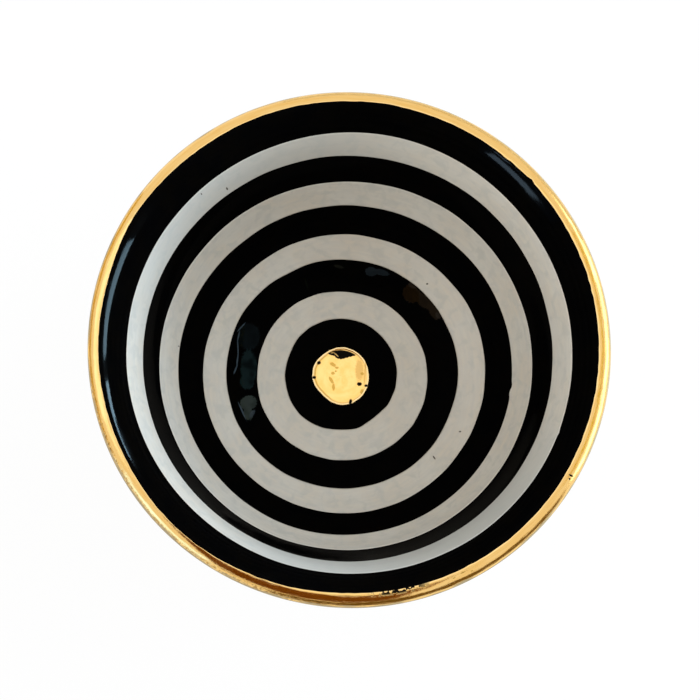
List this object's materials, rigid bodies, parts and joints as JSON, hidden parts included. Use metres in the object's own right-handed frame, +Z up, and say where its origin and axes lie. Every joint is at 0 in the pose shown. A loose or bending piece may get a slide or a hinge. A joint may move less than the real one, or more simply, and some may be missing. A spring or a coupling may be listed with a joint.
{
  "type": "trinket dish",
  "caption": "Small round thrown bowl on a foot ring, with black and white rings inside, a gold dot on its floor and gold over its lip.",
  "frame": {"origin": "on the table, under the middle of the foot ring", "axes": "+Z up along the bowl's axis; the bowl is round, so +X and +Y are free, with -Y towards the viewer in the picture"},
  "size_m": [0.12, 0.12, 0.056],
  "materials": {
    "bare_clay": "matte",
    "white_glaze": "gloss",
    "black_glaze": "gloss",
    "gold_lustre": "gloss"
  },
  "bodies": {
    "root": {"clay_body": "bare_clay", "outside_glaze": "white_glaze", "foot_well_glaze": "white_glaze", "white_ring_1": "white_glaze", "white_ring_2": "white_glaze", "white_ring_3": "white_glaze", "white_ring_4": "white_glaze", "black_ring_1": "black_glaze", "black_ring_2": "black_glaze", "black_ring_3": "black_glaze", "black_ring_4": "black_glaze", "black_ring_5": "black_glaze", "gold_rim": "gold_lustre", "gold_dot": "gold_lustre"}
  },
  "joints": []
}
